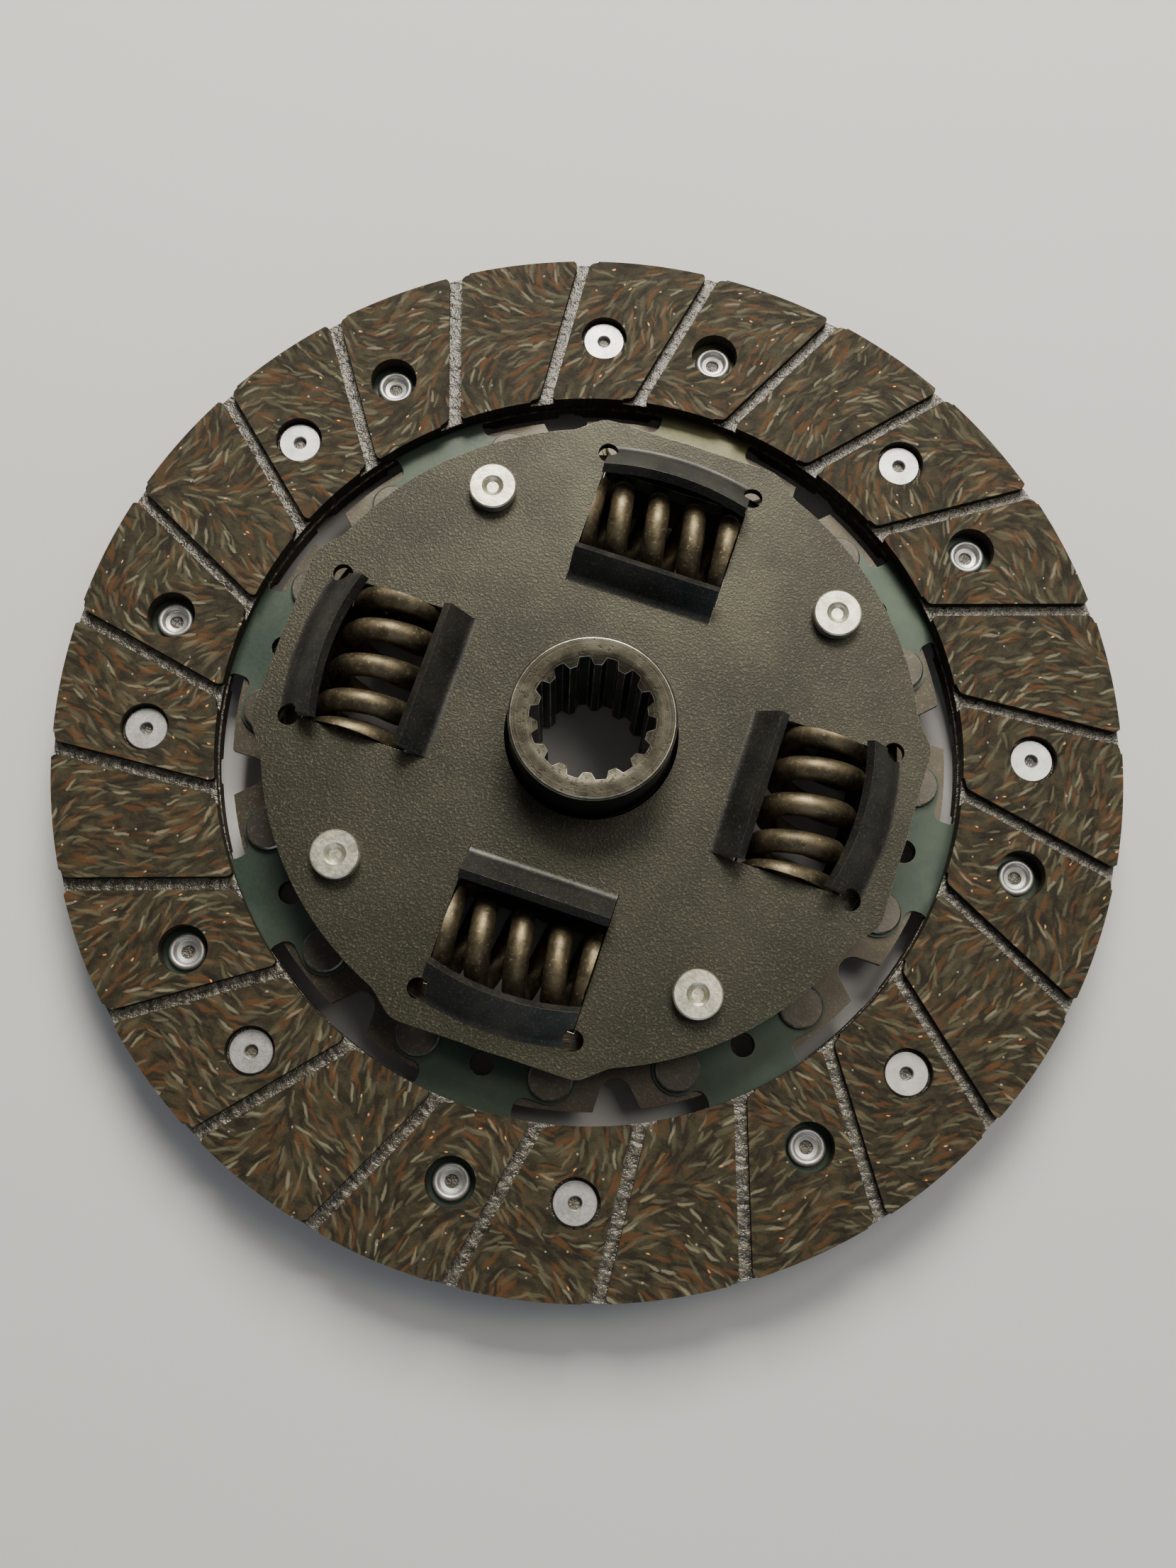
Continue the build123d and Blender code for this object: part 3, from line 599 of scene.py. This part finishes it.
front_facing = cylinder("facing_front", FACING_R, FRONT_TOP - FACING_T, FRONT_TOP, vertices=360)
bore = cylinder("bore_cutter", FACING_BORE_R, BORE_LOW, BORE_HIGH, vertices=288)
modify(front_facing, "BOOLEAN", object=bore, operation="DIFFERENCE", solver="EXACT")
cutters = [copy_of(strip, "groove", about_axis(GROOVE_START + k * 360 / GROOVES))
           for k in range(GROOVES)]
for k in range(SEGMENTS):
    turn = k * SEGMENT_STEP
    cutters.append(cylinder("clear", RIVET_HOLE_R, HOLE_LOW, HOLE_HIGH,
                            REAR_RIVET_ANGLE + turn, RIVET_R, 48))
    cutters.append(cylinder("recess", RIVET_HOLE_R, FRONT_TOP - RECESS_DEPTH, HOLE_HIGH,
                            FRONT_RIVET_ANGLE + turn, RIVET_R, 48))
cutter = joined(cutters, "facing_cutters")
modify(front_facing, "BOOLEAN", object=cutter, operation="DIFFERENCE", solver="EXACT",
       use_self=True)
for tool in (bore, strip, cutter):
    bpy.data.objects.remove(tool)
clean(front_facing)
modify(front_facing, "BEVEL", width=PAD_EDGE * MM, segments=2, limit_method="ANGLE",
       angle_limit=radians(50), use_clamp_overlap=True)
smooth(front_facing, 30)
dress(front_facing, lining)
report(front_facing)

# %% [markdown]
# The rear facing is the same pressing turned over. The turn is about a line halfway between a
# rivet of one kind and a rivet of the other, so that its recesses meet the other rivets' heads.

# %% Rear facing
FLIP_LINE = (FRONT_RIVET_ANGLE + REAR_RIVET_ANGLE) / 2
turn_over = (about_axis(FLIP_LINE) @ Matrix.Translation((0, 0, 2 * PACK_MIDDLE * MM))
             @ Matrix.Rotation(pi, 4, "X") @ about_axis(-FLIP_LINE))
rear_facing = copy_of(front_facing, "facing_rear", turn_over)
smooth(rear_facing, 30)
for facing, cad_node in ((front_facing, "front_facing"), (rear_facing, "rear_facing")):
    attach(facing, "disc")
    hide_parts(cad_node)
report(rear_facing)

# %% [markdown]
# ## Sheet metal with rubbed edges
# The plates, the blades and the hub are already drawn exactly in the CAD model. Its meshes are
# loose triangles, so a copy is welded and its flat regions are dissolved into single faces. Then a
# narrow bevel rounds every sharp edge, as shearing and tumbling do, and lays the worn finish on it.

# %% Welded copies
FLAT = 0.4                    # degrees between faces that count as one flat region
SHARP = 32.0                  # degrees past which an edge gets rounded


def refined(cad_node, name, edge, body, finishes):
    """A welded copy of a CAD node with rounded edges; the last finish goes on the edges."""
    piece = bpy.data.objects.new(name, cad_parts[cad_node].data.copy())
    bpy.context.scene.collection.objects.link(piece)
    pick(piece)
    if piece.data.has_custom_normals:
        bpy.ops.mesh.customdata_custom_splitnormals_clear()
    clean(piece)
    bpy.ops.object.mode_set(mode="EDIT")
    bpy.ops.mesh.select_all(action="SELECT")
    bpy.ops.mesh.dissolve_limited(angle_limit=radians(FLAT))
    bpy.ops.object.mode_set(mode="OBJECT")
    dress(piece, *finishes)
    for face in piece.data.polygons:
        face.material_index = 0
    modify(piece, "BEVEL", width=edge * MM, segments=2, limit_method="ANGLE",
           angle_limit=radians(SHARP), material=len(finishes) - 1, use_clamp_overlap=True)
    smooth(piece, 30)
    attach(piece, body)
    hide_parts(cad_node)
    report(piece)
    return piece


# %% [markdown]
# The lips of the windows have a smoother finish than the plate, and a cooler, grey-blue colour that is
# painted reflection. The sheared ends of windows and lips stay bare metal, apart from the relief
# holes, which are as dark as the plate. The blades are lacquered sage green; one blade's lighter,
# yellower lacquer is a painted highlight.

# %% Plates and blades
WINDOWS, WINDOW_STEP = 4, 90.0
WINDOW_HALF = 14.1
WINDOW_INNER, WINDOW_OUTER = 26.0, 58.0
CUT_REACH = 0.3               # how far from a window's end its cut face may lie
PLATE_TOP, PLATE_BOTTOM = 20.4, 18.4
CARRIER_TOP, CARRIER_BOTTOM = 8.9, 6.9
ABOVE_PLATE = 0.02            # a face that is higher than this over the plate belongs to a lip
RELIEF_X, RELIEF_Y, RELIEF_REACH = 53.6, 14.4, 2.4
# the blade whose lacquer carries the painted highlight
PAINTED_HIGHLIGHT_BLADE = 3


def in_window(k, vector):
    """The vector as the window on +X would see it, were it window k."""
    return about_axis(-WINDOW_STEP * k) @ vector


def bare_the_cuts(plate, index):
    """Gives the sheared ends of the windows and lips the finish of this index."""
    for face in plate.data.polygons:
        if face.material_index > index or abs(face.normal.z) > 0.3:
            continue
        for k in range(WINDOWS):
            seen = in_window(k, face.center) / MM
            at_end = abs(abs(seen.y) - WINDOW_HALF) < CUT_REACH
            across = abs(in_window(k, face.normal).y) > 0.95
            if at_end and across and WINDOW_INNER < seen.x < WINDOW_OUTER:
                face.material_index = index


front_plate = refined("front_plate", "plate_front", 0.22, "disc",
                      (plate_finish, lip_finish_with_painted_reflection, bare_edge, worn_edge))
for face in front_plate.data.polygons:
    if face.material_index == 0 and face.center.z / MM > PLATE_TOP + ABOVE_PLATE:
        face.material_index = 1
bare_the_cuts(front_plate, 2)
for face in front_plate.data.polygons:
    for k in range(WINDOWS):
        seen = in_window(k, face.center) / MM
        if hypot(seen.x - RELIEF_X, abs(seen.y) - RELIEF_Y) < RELIEF_REACH:
            face.material_index = 0
carrier_plate = refined("carrier_plate", "plate_carrier", 0.20, "disc",
                        (carrier_finish, bare_edge, worn_edge))
bare_the_cuts(carrier_plate, 1)
for k in range(1, SEGMENTS + 1):
    refined(f"cushion_segment_{k}", f"blade_{k}", 0.10, "disc",
            (painted_highlight_lacquer if k == PAINTED_HIGHLIGHT_BLADE else lacquer, bare_edge))

# %% [markdown]
# The hub gets its two finishes by place and direction: the end faces are turned, the barrel and the
# splines stay black from hardening. At full twist a spring's ends stand askew in the flange's
# windows, so the windows' long sides are moved back by a hair.

# %% Hub
BARREL_R = 15.0
MIDDLE_Z, FLANGE_T = 13.65, 5.0         # height of the flange's and the springs' middle
SIDE_IN, SIDE_OUT = 32.3, 51.7          # the long sides of a window in the flange
SIDE_REACH, SLACK = 0.3, 0.1            # how far off a corner or a face may be from its place
STAND_BACK = 0.35

hub = refined("hub", "hub_forging", 0.20, "hub", (hub_side, hub_face, worn_edge))
for face in hub.data.polygons:
    outward = hypot(face.center.x, face.center.y) / MM
    if face.material_index == 0 and abs(face.normal.z) > 0.5 and outward < BARREL_R + SLACK:
        face.material_index = 1
print("turned faces:", sum(f.material_index == 1 for f in hub.data.polygons))
moved = 0
for v in hub.data.vertices:
    for k in range(WINDOWS):
        seen = in_window(k, v.co) / MM
        off_flange = abs(seen.z - MIDDLE_Z) > FLANGE_T / 2 + SLACK
        if off_flange or abs(seen.y) > WINDOW_HALF + SIDE_REACH:
            continue
        back = about_axis(WINDOW_STEP * k) @ Vector((STAND_BACK * MM, 0, 0))
        if abs(seen.x - SIDE_IN) < SIDE_REACH:
            v.co -= back
            moved += 1
            break
        if abs(seen.x - SIDE_OUT) < SIDE_REACH:
            v.co += back
            moved += 1
            break
print("corners moved back:", moved)

# %% [markdown]
# ## Torsion springs
# Each spring is a piece of wire wound right-handed, with its end turns closed and ground flat. A
# curve through the wire's centre is given a round section, made a mesh, and cut off square at both
# ends. The pitch is small in the end turns and opens in between.

# %% Spring winding
SPRING_R, SPRING_OUTER_D, WIRE_D = 42.0, 18.5, 4.4
SPRING_LENGTH, TURNS = 27.6, 5.0
END_PITCH, MIDDLE_PITCH = 4.0, 7.15
CLOSED, OPENING = 0.5, 0.6    # in turns: the closed end, and the way from one pitch to the other
FIRST_CREST = (0.51, 0.34, 0.41, 0.45)  # where in its first turn each spring's wire crests
POINTS_PER_TURN = 48


def rise(turn):
    """How far along the spring the wire has come, in millimetres."""
    if turn > TURNS / 2:
        return 2 * rise(TURNS / 2) - rise(TURNS - turn)
    opening = min(max(turn - CLOSED, 0), OPENING)
    opened = max(turn - CLOSED - OPENING, 0)
    gain = (MIDDLE_PITCH - END_PITCH) / OPENING
    at_end_pitch = (min(turn, CLOSED) + opening) * END_PITCH
    return at_end_pitch + gain * opening ** 2 / 2 + opened * MIDDLE_PITCH


def wind(name, first_crest):
    """The spring in the window on +X."""
    coil_r = (SPRING_OUTER_D - WIRE_D) / 2
    count = round(TURNS * POINTS_PER_TURN)
    curve = bpy.data.curves.new(name, "CURVE")
    curve.dimensions = "3D"
    curve.bevel_depth = WIRE_D / 2 * MM
    curve.bevel_resolution = 5
    curve.use_fill_caps = True
    spline = curve.splines.new("POLY")
    spline.points.add(count)
    for k, point in enumerate(spline.points):
        turn = k / POINTS_PER_TURN
        a = radians(90 + 360 * (turn - first_crest))
        along = rise(turn) - rise(TURNS) / 2
        point.co = ((SPRING_R + coil_r * cos(a)) * MM, -along * MM,
                    (MIDDLE_Z + coil_r * sin(a)) * MM, 1)
    piece = bpy.data.objects.new(name, curve)
    bpy.context.scene.collection.objects.link(piece)
    pick(piece)
    bpy.ops.object.convert(target="MESH")
    piece = bpy.context.active_object
    for side in (1, -1):
        bpy.ops.object.mode_set(mode="EDIT")
        bpy.ops.mesh.select_all(action="SELECT")
        bpy.ops.mesh.bisect(plane_co=(0, side * SPRING_LENGTH / 2 * MM, 0), plane_no=(0, side, 0),
                            clear_outer=True, use_fill=True)
        bpy.ops.object.mode_set(mode="OBJECT")
    clean(piece)
    return piece

# %% [markdown]
# A real spring's ends are ground bright. Here the cuts leave them open, apart from two small faces
# that get the ground finish, because the tube's doubled points are only merged after the cuts. The
# open ends stand against the windows' ends and hardly show. When the disc twists, the hub and the
# plates press each spring together from both ends.

# %% Springs in their windows
ground_end, tree, shader = material("ground_spring_end", metallic=0.9)
place = place_of(tree)
color = mix(tree, noise(tree, place, 1200.0, 3.0), (0.16, 0.15, 0.13, 1), (0.42, 0.40, 0.35, 1))
finish(tree, shader, color, calc(tree, "MULTIPLY_ADD", noise(tree, place, 2000.0), 0.2, 0.30))
for k, crest in enumerate(FIRST_CREST):
    angle = WINDOW_STEP * k
    spring = wind(f"spring_{k + 1}", crest)
    dress(spring, spring_wire, ground_end)
    for face in spring.data.polygons:
        from_end = abs(abs(face.center.y) / MM - SPRING_LENGTH / 2)
        face.material_index = int(abs(face.normal.y) > 0.99 and from_end < 0.05)
    spring.data.transform(about_axis(angle))
    smooth(spring, 40)
    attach(spring, "springs")
    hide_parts(f"torsion_spring_{k + 1}")
    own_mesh(spring)
    report(spring)

# %% [markdown]
# ## Rivets and pins
# All of these are turned parts, so they are made as on a lathe. One point is extruded along half
# of the outline, and that is spun round the pin's own axis. One of each kind is made and copied.

# %% Lathe
def lathe(name, corners, steps=48):
    """Spins an outline of (radius, height) corners, in millimetres, round the Z axis."""
    piece = add("primitive_plane_add", name, size=MM)
    bpy.ops.object.mode_set(mode="EDIT")
    bpy.ops.mesh.select_all(action="SELECT")
    bpy.ops.mesh.merge(type="CENTER")
    first_r, first_z = corners[0]
    bpy.ops.transform.translate(value=(first_r * MM, 0, first_z * MM))
    for (r0, z0), (r1, z1) in zip(corners, corners[1:]):
        step = ((r1 - r0) * MM, 0, (z1 - z0) * MM)
        bpy.ops.mesh.extrude_vertices_move(TRANSFORM_OT_translate={"value": step})
    bpy.ops.mesh.select_all(action="SELECT")
    bpy.ops.mesh.spin(steps=steps, angle=2 * pi, center=(0, 0, 0), axis=(0, 0, 1))
    bpy.ops.object.mode_set(mode="OBJECT")
    clean(piece)
    return piece


def eased_outline(corners, ease):
    """The outline with its corners eased by short chamfers, apart from the two ends on the axis."""
    eased = []
    for k, (r, z) in enumerate(corners):
        before, after = corners[k - 1], corners[(k + 1) % len(corners)]
        if r < 0.01:
            eased.append((r, z))
            continue
        for neighbour in (before, after):
            gap = hypot(neighbour[0] - r, neighbour[1] - z)
            share = min(ease / gap, 0.4)
            eased.append((r + (neighbour[0] - r) * share, z + (neighbour[1] - z) * share))
    return eased


# %% [markdown]
# A stop pin is thick between the plates, where the hub's slots strike it, and thin inside them. Its
# ends are upset over the plates, and the punch leaves a dimple with sloping walls.

# %% Stop pins
PIN_R = 51.0                  # from the hub's axis to a pin's
PIN_ANGLES = (45.0, 129.8, 225.0, 309.8)
BODY_R, NECK_R, HEAD_R, HEAD_H = 5.0, 3.5, 4.45, 2.5
DIMPLE_R, FLOOR_R = 1.80, 1.35
FLOOR_RIM_H, FLOOR_MIDDLE_H = 1.65, 1.60        # the dimple's floor, over the plate
end = [(0, FLOOR_MIDDLE_H), (FLOOR_R, FLOOR_RIM_H), (DIMPLE_R, HEAD_H), (HEAD_R, HEAD_H)]
pin_outline = eased_outline(
    [(r, PLATE_TOP + h) for r, h in end]
    + [(HEAD_R, PLATE_TOP), (NECK_R, PLATE_TOP), (NECK_R, PLATE_BOTTOM), (BODY_R, PLATE_BOTTOM),
       (BODY_R, CARRIER_TOP), (NECK_R, CARRIER_TOP), (NECK_R, CARRIER_BOTTOM),
       (HEAD_R, CARRIER_BOTTOM)]
    + [(r, CARRIER_BOTTOM - h) for r, h in reversed(end)], 0.26)
pin = lathe("pin", pin_outline, 64)
for k, angle in enumerate(PIN_ANGLES):
    placing = about_axis(angle) @ Matrix.Translation((PIN_R * MM, 0, 0))
    stop = copy_of(pin, f"pin_{k + 1}", placing)
    dress(stop, zinc)
    smooth(stop, 30)
    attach(stop, "disc")
    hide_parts(f"stop_pin_{k + 1}")
bpy.data.objects.remove(pin)
report(stop)

# %% [markdown]
# The facings hang on tubular rivets. The head is a flat disc with a hole, deep in its recess. The
# far end is rolled outwards over the blade, so that it shows a bright rounded lip with a stepped
# mouth. Half of the rivets look forward and half of them look back.

# %% Facing rivets
HEAD_TOP = FRONT_TOP - 1.5
BLADE_BOTTOM = PACK_MIDDLE    # underside of the blade's wing, over which the end is rolled
# from the hole's mouth over the head, down the shank, round the rolled lip and back into the hole
rivet_outline = [
    (1.2, HEAD_TOP - 0.12), (1.35, HEAD_TOP), (3.85, HEAD_TOP), (4.0, HEAD_TOP - 0.15),
    (4.0, HEAD_TOP - 1.0), (2.2, HEAD_TOP - 1.0),
    (2.2, BLADE_BOTTOM), (3.2, BLADE_BOTTOM), (3.45, BLADE_BOTTOM - 0.20),
    (3.5, BLADE_BOTTOM - 0.48), (3.40, BLADE_BOTTOM - 0.80), (3.15, BLADE_BOTTOM - 1.04),
    (2.85, BLADE_BOTTOM - 1.13), (2.55, BLADE_BOTTOM - 1.06), (2.32, BLADE_BOTTOM - 0.84),
    (2.22, BLADE_BOTTOM - 0.50), (2.18, BLADE_BOTTOM - 0.10), (2.05, BLADE_BOTTOM + 0.05),
    (1.65, BLADE_BOTTOM + 0.12), (1.30, BLADE_BOTTOM + 0.20), (1.2, BLADE_BOTTOM + 0.35)]
rivet = lathe("tubular", rivet_outline + rivet_outline[:1], 48)
rivet.data.transform(Matrix.Translation((RIVET_R * MM, 0, 0)))
for side, turning in (("front", Matrix.Identity(4)), ("rear", turn_over)):
    copies = [copy_of(rivet, "tubular_copy",
                      turning @ about_axis(FRONT_RIVET_ANGLE + SEGMENT_STEP * k))
              for k in range(SEGMENTS)]
    row = joined(copies, f"rivets_{side}")
    clean(row)
    dress(row, tubular)
    smooth(row, 35)
    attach(row, "disc")
    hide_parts(f"{side}_facing_rivets")
    report(row)
bpy.data.objects.remove(rivet)

# %% [markdown]
# Two solid rivets hold each blade's foot on the carrier plate. Their heads are plain low discs with
# a rubbed rim.

# %% Blade rivets
FOOT_TOP = PACK_MIDDLE        # upper side of the blade's foot
FOOT_RIVET_R, FOOT_RIVET_LEAN = 62.0, 11.8
FOOT_HEAD_R, FOOT_HEAD_H, FOOT_SHANK_R = 4.05, 1.3, 2.5
foot_outline = eased_outline([
    (0, FOOT_TOP + FOOT_HEAD_H), (FOOT_HEAD_R, FOOT_TOP + FOOT_HEAD_H), (FOOT_HEAD_R, FOOT_TOP),
    (FOOT_SHANK_R, FOOT_TOP), (FOOT_SHANK_R, CARRIER_BOTTOM), (FOOT_HEAD_R, CARRIER_BOTTOM),
    (FOOT_HEAD_R, CARRIER_BOTTOM - FOOT_HEAD_H), (0, CARRIER_BOTTOM - FOOT_HEAD_H)], 0.30)
foot_rivet = lathe("foot_rivet", foot_outline, 48)
foot_rivet.data.transform(Matrix.Translation((FOOT_RIVET_R * MM, 0, 0)))
copies = [copy_of(foot_rivet, "foot_copy", about_axis(SEGMENT_STEP * k + lean))
          for k in range(SEGMENTS) for lean in (FOOT_RIVET_LEAN, -FOOT_RIVET_LEAN)]
foot_rivets = joined(copies, "rivets_blade")
bpy.data.objects.remove(foot_rivet)
clean(foot_rivets)
dress(foot_rivets, rivet_steel, worn_edge)
for face in foot_rivets.data.polygons:
    face.material_index = int(0.2 < abs(face.normal.z) < 0.95)
smooth(foot_rivets, 30)
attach(foot_rivets, "disc")
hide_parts("segment_rivets")
report(foot_rivets)

# %% [markdown]
# ## The hidden damper
# The washers between flange and plates are hardly seen. Their CAD nodes stay as they are and only
# get their finishes.

# %% Damper finishes
for cad_node, made in (("rear_friction_ring", friction_plastic),
                       ("front_friction_washer", friction_plastic),
                       ("cone_spring_washer", damper_steel), ("support_washer", damper_steel)):
    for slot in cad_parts[cad_node].material_slots:
        slot.material = made
